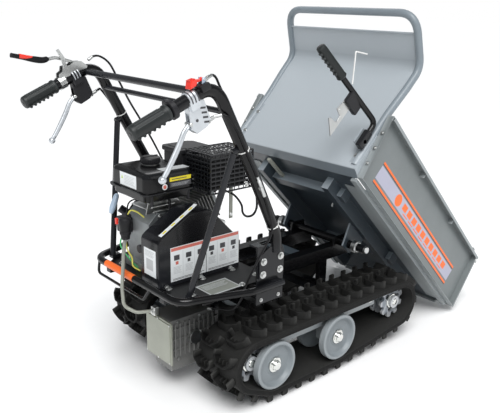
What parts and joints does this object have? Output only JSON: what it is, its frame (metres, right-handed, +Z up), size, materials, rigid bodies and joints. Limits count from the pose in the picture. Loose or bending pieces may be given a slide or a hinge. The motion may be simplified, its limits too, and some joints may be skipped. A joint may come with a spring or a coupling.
{
  "type": "power wheelbarrow",
  "caption": "Tracked walk-behind mini dumper with a tipping load box, small petrol engine on a rear deck, handlebars with levers and rubber tracks.",
  "frame": {"origin": "middle of the bounding box on the ground, box tipped", "axes": "+X forward to the tipping end, +Y to the operator's left, +Z up"},
  "size_m": [1.6534, 0.672, 1.169],
  "materials": {
    "black_paint": "gloss black powder coat",
    "grey_paint": "semi-gloss light blue-grey paint",
    "wheel_paint": "satin mid-grey paint",
    "zinc": "zinc plated steel",
    "olive_zinc": "olive passivated zinc plate",
    "aluminium": "die cast, bare",
    "cast_alloy": "rough cast, dark",
    "black_plastic": "moulded, fine grain",
    "grip_rubber": "soft moulded rubber",
    "track_rubber": "moulded track rubber",
    "cable_sheath": "extruded sheath",
    "red_plastic": "moulded, glossy",
    "grey_plastic": "moulded"
  },
  "bodies": {
    "machine": {"chassis_frame": "black_paint", "engine_deck": "black_paint", "bumper_rail": "black_paint", "track_frame_left": "grey_paint", "track_frame_right": "grey_paint", "track_belt_left": "track_rubber", "track_belt_right": "track_rubber", "gearbox_case": "cast_alloy", "gearbox_cover": "olive_zinc", "crankcase": "cast_alloy", "engine_cylinder": "aluminium", "fuel_tank": "black_paint", "air_cleaner": "black_plastic", "muffler": "black_paint", "muffler_guard": "black_paint", "recoil_starter": "black_paint", "switch_box": "black_plastic", "belt_cover": "black_paint", "drive_belt": "track_rubber", "handle_frame": "black_paint", "handle_brace_left": "black_paint", "handle_brace_right": "black_paint", "handle_grip_left": "grip_rubber", "handle_grip_right": "grip_rubber", "lever_perch_left": "black_plastic", "lever_perch_right": "aluminium", "clutch_bracket": "zinc", "throttle_housing": "black_plastic", "steering_cable_left": "cable_sheath", "steering_cable_right": "cable_sheath", "clutch_cable": "cable_sheath", "throttle_cable": "cable_sheath"},
    "dump_box": {"box_floor": "grey_paint", "rear_panel": "grey_paint"},
    "front_gate": {"front_gate": "grey_paint"},
    "dump_lever": {"dump_lever": "black_paint"},
    "fuel_cap": {"fuel_cap": "black_plastic"},
    "choke_lever": {"choke_lever": "grey_plastic"},
    "recoil_grip": {"recoil_grip": "grey_plastic"},
    "engine_switch": {"engine_switch": "red_plastic"},
    "shift_lever": {"shift_lever": "olive_zinc"},
    "clutch_lever": {"clutch_lever": "red_plastic"},
    "belt_tensioner": {"belt_tensioner": "zinc"},
    "throttle_lever": {"throttle_lever": "red_plastic"},
    "engine_pulley": {"engine_pulley": "zinc"},
    "gearbox_pulley": {"gearbox_pulley": "zinc"},
    "road_roller_rear_left": {"road_roller_rear_left": "wheel_paint"},
    "road_roller_front_left": {"road_roller_front_left": "wheel_paint"},
    "drive_sprocket_left": {"drive_sprocket_left": "wheel_paint"},
    "front_idler_left": {"front_idler_left": "wheel_paint"},
    "steering_lever_left": {"steering_lever_left": "aluminium"},
    "side_panel_left": {"side_panel_left": "grey_paint"},
    "gate_latch_left": {"gate_latch_left": "zinc"},
    "road_roller_rear_right": {"road_roller_rear_right": "wheel_paint"},
    "road_roller_front_right": {"road_roller_front_right": "wheel_paint"},
    "drive_sprocket_right": {"drive_sprocket_right": "wheel_paint"},
    "front_idler_right": {"front_idler_right": "wheel_paint"},
    "steering_lever_right": {"steering_lever_right": "aluminium"},
    "side_panel_right": {"side_panel_right": "grey_paint"},
    "gate_latch_right": {"gate_latch_right": "zinc"}
  },
  "joints": [
    {"name": "dump_box_tip", "type": "hinge", "parent": "machine", "child": "dump_box", "pos_m": [0.18175, 0, 0.35], "axis": [0, 1, 0], "range_deg": [-45.2, 0]},
    {"name": "front_gate_hinge", "type": "hinge", "parent": "dump_box", "child": "front_gate", "pos_m": [0.64835, 0, 0.02063], "axis": [0, 1, 0], "range_deg": [0, 45]},
    {"name": "dump_lever_release", "type": "hinge", "parent": "dump_box", "child": "dump_lever", "pos_m": [0.05591, -0.286, 0.76481], "axis": [0, -1, 0], "range_deg": [0, 12], "stiffness_Nm_per_rad": 14, "springref_deg": -28.65},
    {"name": "side_panel_slide_left", "type": "slide", "parent": "dump_box", "child": "side_panel_left", "axis": [0, 1, 0], "range_m": [0, 0.06]},
    {"name": "gate_latch_turn_left", "type": "hinge", "parent": "side_panel_left", "child": "gate_latch_left", "pos_m": [0.77461, 0.302, 0.23409], "axis": [0, -1, 0], "range_deg": [0, 80]},
    {"name": "sprocket_turn_left", "type": "hinge", "parent": "machine", "child": "drive_sprocket_left", "pos_m": [-0.41125, 0.262, 0.148], "axis": [0, 1, 0], "continuous": true},
    {"name": "idler_turn_left", "type": "hinge", "parent": "machine", "child": "front_idler_left", "pos_m": [0.27875, 0.262, 0.148], "axis": [0, 1, 0], "continuous": true},
    {"name": "roller_turn_rear_left", "type": "hinge", "parent": "machine", "child": "road_roller_rear_left", "pos_m": [-0.33325, 0.32, 0.125], "axis": [0, 1, 0], "continuous": true},
    {"name": "roller_turn_front_left", "type": "hinge", "parent": "machine", "child": "road_roller_front_left", "pos_m": [-0.04725, 0.32, 0.125], "axis": [0, 1, 0], "continuous": true},
    {"name": "steering_lever_squeeze_left", "type": "hinge", "parent": "machine", "child": "steering_lever_left", "pos_m": [-0.63425, 0.3005, 0.893], "axis": [0, 1, 0], "range_deg": [0, 18], "stiffness_Nm_per_rad": 2, "springref_deg": -20.05},
    {"name": "side_panel_slide_right", "type": "slide", "parent": "dump_box", "child": "side_panel_right", "axis": [0, -1, 0], "range_m": [0, 0.06]},
    {"name": "gate_latch_turn_right", "type": "hinge", "parent": "side_panel_right", "child": "gate_latch_right", "pos_m": [0.77461, -0.302, 0.23409], "axis": [0, -1, 0], "range_deg": [0, 80]},
    {"name": "sprocket_turn_right", "type": "hinge", "parent": "machine", "child": "drive_sprocket_right", "pos_m": [-0.41125, -0.262, 0.148], "axis": [0, 1, 0], "continuous": true},
    {"name": "idler_turn_right", "type": "hinge", "parent": "machine", "child": "front_idler_right", "pos_m": [0.27875, -0.262, 0.148], "axis": [0, 1, 0], "continuous": true},
    {"name": "roller_turn_rear_right", "type": "hinge", "parent": "machine", "child": "road_roller_rear_right", "pos_m": [-0.33325, -0.32, 0.125], "axis": [0, 1, 0], "continuous": true},
    {"name": "roller_turn_front_right", "type": "hinge", "parent": "machine", "child": "road_roller_front_right", "pos_m": [-0.04725, -0.32, 0.125], "axis": [0, 1, 0], "continuous": true},
    {"name": "steering_lever_squeeze_right", "type": "hinge", "parent": "machine", "child": "steering_lever_right", "pos_m": [-0.63425, -0.3005, 0.893], "axis": [0, 1, 0], "range_deg": [0, 18], "stiffness_Nm_per_rad": 2, "springref_deg": -20.05},
    {"name": "shift_lever_swing", "type": "hinge", "parent": "machine", "child": "shift_lever", "pos_m": [-0.57925, -0.042, 0.276], "axis": [1, 0, 0], "range_deg": [-12, 12]},
    {"name": "clutch_lever_press", "type": "hinge", "parent": "machine", "child": "clutch_lever", "pos_m": [-0.62125, 0.3, 0.993], "axis": [0, -1, 0], "range_deg": [0, 28]},
    {"name": "belt_tensioner_swing", "type": "hinge", "parent": "machine", "child": "belt_tensioner", "pos_m": [-0.31325, 0, 0.388], "axis": [0, -1, 0], "range_deg": [0, 11.2]},
    {"name": "throttle_lever_turn", "type": "hinge", "parent": "machine", "child": "throttle_lever", "pos_m": [-0.59525, -0.302, 1.001], "axis": [0, 1, 0], "range_deg": [0, 45]},
    {"name": "choke_lever_turn", "type": "hinge", "parent": "machine", "child": "choke_lever", "pos_m": [-0.32525, 0.152, 0.595], "axis": [0, 1, 0], "range_deg": [0, 35]},
    {"name": "fuel_cap_turn", "type": "hinge", "parent": "machine", "child": "fuel_cap", "pos_m": [-0.49325, 0.096, 0.712], "axis": [0, 0, 1], "range_deg": [0, 90]},
    {"name": "engine_switch_turn", "type": "hinge", "parent": "machine", "child": "engine_switch", "pos_m": [-0.59225, 0.128, 0.519], "axis": [-0.9578, 0, 0.2873], "range_deg": [0, 60]},
    {"name": "recoil_grip_pull", "type": "slide", "parent": "machine", "child": "recoil_grip", "axis": [-0.7992, 0.2198, 0.5595], "range_m": [0, 0.25], "stiffness_N_per_m": 20, "springref_m": -0.1},
    {"name": "engine_pulley_turn", "type": "hinge", "parent": "machine", "child": "engine_pulley", "pos_m": [-0.44325, -0.052, 0.481], "axis": [0, 1, 0], "continuous": true},
    {"name": "gearbox_pulley_turn", "type": "hinge", "parent": "machine", "child": "gearbox_pulley", "pos_m": [-0.40825, -0.052, 0.312], "axis": [0, 1, 0], "continuous": true}
  ],
  "couplings": [
    {"joint": "roller_turn_rear_left", "follows": "sprocket_turn_left", "ratio": 0.8354},
    {"joint": "roller_turn_front_left", "follows": "sprocket_turn_left", "ratio": 0.8354},
    {"joint": "idler_turn_left", "follows": "sprocket_turn_left", "ratio": 1},
    {"joint": "roller_turn_rear_right", "follows": "sprocket_turn_right", "ratio": 0.8354},
    {"joint": "roller_turn_front_right", "follows": "sprocket_turn_right", "ratio": 0.8354},
    {"joint": "idler_turn_right", "follows": "sprocket_turn_right", "ratio": 1},
    {"joint": "belt_tensioner_swing", "follows": "clutch_lever_press", "ratio": 0.4},
    {"joint": "gearbox_pulley_turn", "follows": "engine_pulley_turn", "ratio": 1.1053}
  ]
}
